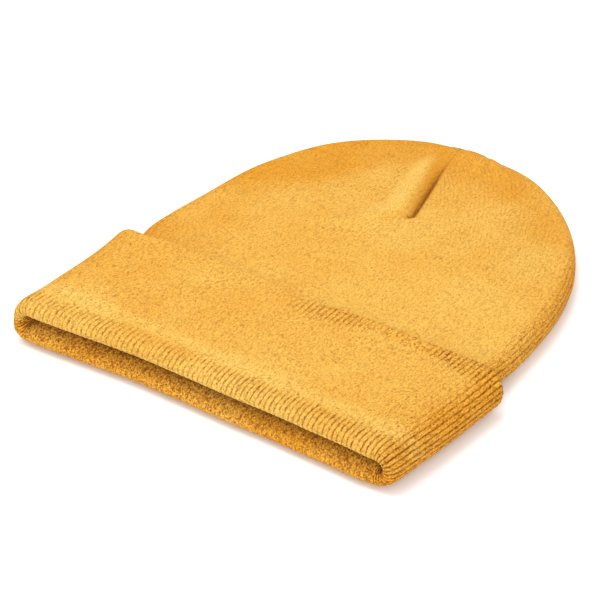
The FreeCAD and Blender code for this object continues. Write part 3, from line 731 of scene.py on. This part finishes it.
def knot(name, centre, nodes):
    """A tacked knot: three turns of thread in a small flat coil."""
    turn = np.linspace(0, 3 * math.tau, 90)
    size = 1.2 + 0.5 * np.sin(turn * 2.3)
    path = np.stack([np.cos(turn) * size, 0.5 * np.sin(turn * 1.7), np.sin(turn) * size * 0.8], -1)
    obj = thread(name, path + np.array(centre), KNOT_RADIUS, seam_thread)
    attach(obj, "back_panel")
    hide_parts(*nodes)


def seams():
    """The four dart seams and the closing knot of the shell, and the same of the lining."""
    for layer, inset, lift in (("", 0.0, 0.6), ("lining_", LINING_INSET, -0.4)):
        seam(f"{layer}dart_seam_front", DART_WALE, False, inset, 174, 231, lift, [f"{layer}dart_front"])
        seam(f"{layer}dart_seam_back", 0, True, inset, 164, 232, -lift, [f"{layer}dart_back"])
        for side, sign in (("left", -1), ("right", 1)):
            seam(f"{layer}dart_seam_{side}", sign * WALES, False, inset, 212, 234, 0.0,
                 [f"{layer}dart_{side}"])
        knot(f"{layer}crown_knot", (0, LENGTH - 1.6 - 0.6 * inset, 6.0), [f"{layer}crown_tack"])


def care_label():
    """The care label: a blank tape folded double and sewn into the back seam of the lining."""
    turn = np.linspace(0, np.pi, 9)
    y = np.r_[np.linspace(166, 127, 24), 126.6 - 0.35 * np.sin(turn), np.linspace(127, 166, 24)]
    z = np.r_[np.full(24, 4.25), 4.5 - 0.25 * np.cos(turn), np.full(24, 4.75)]
    x = np.linspace(-11, 11, 24)[None, :]
    lie = 0.12 * waves(x, y[:, None], 21, 24.0)
    points = np.stack([x + 0 * y[:, None], y[:, None] + 0 * x, z[:, None] + lie], -1)
    label = grid_mesh("care_label_tape", points, label_tape, flip=True)
    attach(label, "back_panel")
    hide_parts("care_label")
    x = np.linspace(-10.5, 10.5, 12)
    line = np.stack([x, 0 * x + 164.5, 0 * x + 5.0], -1)
    stitch = thread("care_label_stitch", overcast(line, 0.8, 2.6), 0.22, label_thread)
    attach(stitch, "back_panel")
    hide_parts("label_stitch")


body_pieces("shell", shell_knit, 0.0, SHELL_START, 8, 118)
body_pieces("lining", lining_knit, LINING_INSET, LINING_START, 4, 64)
cuff_pieces(cuff_knit)
seams()
care_label()


# ---------------------------------------------------------------- floor, light, camera
def table():
    """A pale table top under the hat."""
    mesh = bpy.data.meshes.new("table")
    reach, top = 3.0, -0.0002
    corners = [(-reach, -reach, top), (reach, -reach, top), (reach, reach, top), (-reach, reach, top)]
    mesh.from_pydata(corners, [], [(0, 1, 2, 3)])
    floor = bpy.data.objects.new("table", mesh)
    bpy.context.scene.collection.objects.link(floor)
    pale = bpy.data.materials.new("pale_table")
    pale.use_nodes = True
    pale.node_tree.nodes["Principled BSDF"].inputs["Base Color"].default_value = (0.95, 0.95, 0.95, 1)
    pale.node_tree.nodes["Principled BSDF"].inputs["Roughness"].default_value = 0.9
    mesh.materials.append(pale)


def soft_light(name, place, size, power):
    """A round soft light at place that points at the hat; size in metres and power in watts."""
    data = bpy.data.lights.new(name, "AREA")
    data.shape, data.size, data.energy = "DISK", size, power
    light = bpy.data.objects.new(name, data)
    bpy.context.scene.collection.objects.link(light)
    light.location = place
    light.rotation_euler = (-Vector(place)).to_track_quat("-Z", "Y").to_euler()


def camera():
    """Looks down at the mouth's right corner from the front, with a long lens from 1.56 m."""
    azimuth, elevation, distance, focal = math.radians(34.13), math.radians(35.63), 1.560, 203.0
    back = np.array([math.sin(azimuth) * math.cos(elevation), -math.cos(azimuth) * math.cos(elevation),
                     math.sin(elevation)])
    right = np.array([math.cos(azimuth), math.sin(azimuth), 0])
    up = np.cross(back, right)
    target = np.array([0, (103.5 + SHIFT) / 1000, 0.0079])
    place = target + back * distance
    aim = target - right * 0.0160 - up * 0.0056
    data = bpy.data.cameras.new("camera")
    data.sensor_width, data.lens, data.clip_end = 36.0, focal, 20
    made = bpy.data.objects.new("camera", data)
    bpy.context.scene.collection.objects.link(made)
    made.location = place
    made.rotation_mode = "QUATERNION"
    made.rotation_quaternion = Vector(aim - place).to_track_quat("-Z", "Y")
    bpy.context.scene.camera = made


def studio():
    """White surroundings and two soft lights."""
    world = bpy.data.worlds.new("studio")
    bpy.context.scene.world = world
    world.use_nodes = True
    world.node_tree.nodes["Background"].inputs[0].default_value = (1, 1, 1, 1)
    world.node_tree.nodes["Background"].inputs[1].default_value = 1.02
    soft_light("overhead", (-0.48, -0.05, 1.45), 1.3, 14)
    soft_light("front_fill", (0.75, -1.25, 0.50), 1.2, 9.5)
    bpy.context.scene.view_settings.view_transform = "Standard"


table()
studio()
camera()
